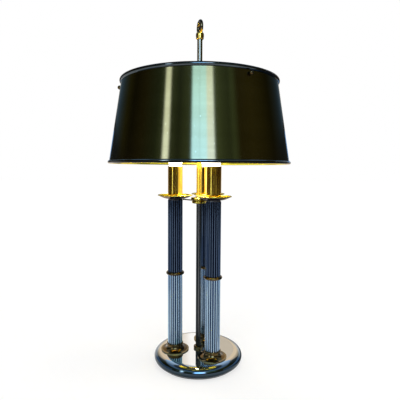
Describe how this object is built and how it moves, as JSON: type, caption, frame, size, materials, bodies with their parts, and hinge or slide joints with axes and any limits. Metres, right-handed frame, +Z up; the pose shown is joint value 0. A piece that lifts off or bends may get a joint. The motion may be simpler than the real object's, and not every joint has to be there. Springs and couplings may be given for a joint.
{
  "type": "bouillotte lamp",
  "caption": "Bouillotte table lamp: fluted candle columns on a round mirror base, tied to a centre rod that carries a conical metal shade that slides and turns, with a ring finial.",
  "frame": {"origin": "centre of the base's underside, on the surface that the lamp stands on", "axes": "+Z up along the centre rod; -Y towards the viewer; +Y towards the cord inlet; +X to the viewer's right"},
  "size_m": [0.3899, 0.39, 0.7461],
  "materials": {
    "mirror_chrome": "polished",
    "cast_iron": "as cast",
    "felt": "felt",
    "black_plastic": "satin",
    "lead_sheath": "matt",
    "plated_steel": "zinc plated",
    "blue_steel": "brushed, blue-grey",
    "navy_steel": "brushed, dark navy",
    "antique_brass": "polished, dark",
    "bright_brass": "polished",
    "gilt_sleeve": "satin",
    "porcelain": "glazed",
    "lamp_metal": "bright",
    "lamp_glass": "frosted, lit",
    "rod_chrome": "polished",
    "shade_metal": "brushed bronze, lacquered",
    "rim_gunmetal": "polished gunmetal"
  },
  "bodies": {
    "stand": {"base_shell": "mirror_chrome", "base_weight": "cast_iron", "base_pad": "felt", "cord_bushing": "black_plastic", "terminal_block": "black_plastic", "socket_leads": "lead_sheath", "column_washers": "plated_steel", "column_nuts": "plated_steel", "centre_rod": "rod_chrome", "rod_nut": "plated_steel", "rod_collar": "antique_brass", "tie_hub": "bright_brass", "hub_screw": "plated_steel", "finial_collar": "antique_brass", "finial_ring": "antique_brass", "column_pipe_1": "plated_steel", "column_pipe_2": "plated_steel", "column_pipe_3": "plated_steel", "foot_1": "antique_brass", "foot_2": "antique_brass", "foot_3": "antique_brass", "lower_column_1": "blue_steel", "lower_column_2": "blue_steel", "lower_column_3": "blue_steel", "column_ring_1": "antique_brass", "column_ring_2": "antique_brass", "column_ring_3": "antique_brass", "upper_column_1": "navy_steel", "upper_column_2": "navy_steel", "upper_column_3": "navy_steel", "column_cap_1": "plated_steel", "column_cap_2": "plated_steel", "column_cap_3": "plated_steel", "tie_arm_1": "antique_brass", "tie_arm_2": "antique_brass", "tie_arm_3": "antique_brass", "bobeche_1": "bright_brass", "bobeche_2": "bright_brass", "bobeche_3": "bright_brass", "candle_sleeve_1": "gilt_sleeve", "candle_sleeve_2": "gilt_sleeve", "candle_sleeve_3": "gilt_sleeve", "lamp_socket_1": "porcelain", "lamp_socket_2": "porcelain", "lamp_socket_3": "porcelain", "lamp_cap_1": "lamp_metal", "lamp_cap_2": "lamp_metal", "lamp_cap_3": "lamp_metal", "lamp_glass_1": "lamp_glass", "lamp_glass_2": "lamp_glass", "lamp_glass_3": "lamp_glass"},
    "shade_carrier": {"shade_carrier": "bright_brass", "carrier_nut": "bright_brass"},
    "shade": {"shade_cone": "shade_metal", "shade_bottom_rim": "rim_gunmetal", "shade_top_rim": "rim_gunmetal", "shade_spider": "bright_brass", "ball_nuts": "antique_brass", "spider_lock_nuts": "plated_steel"},
    "clamp_screw": {"clamp_screw": "bright_brass"}
  },
  "joints": [
    {"name": "shade_lift", "type": "slide", "parent": "stand", "child": "shade_carrier", "axis": [0, 0, 1], "range_m": [-0.06, 0.07]},
    {"name": "shade_turn", "type": "hinge", "parent": "shade_carrier", "child": "shade", "pos_m": [0, 0, 0.602], "axis": [0, 0, 1], "continuous": true},
    {"name": "clamp_screw_turn", "type": "hinge", "parent": "shade_carrier", "child": "clamp_screw", "pos_m": [0, -0.016, 0.6219], "axis": [0, -1, 0], "range_deg": [0, 720]}
  ]
}
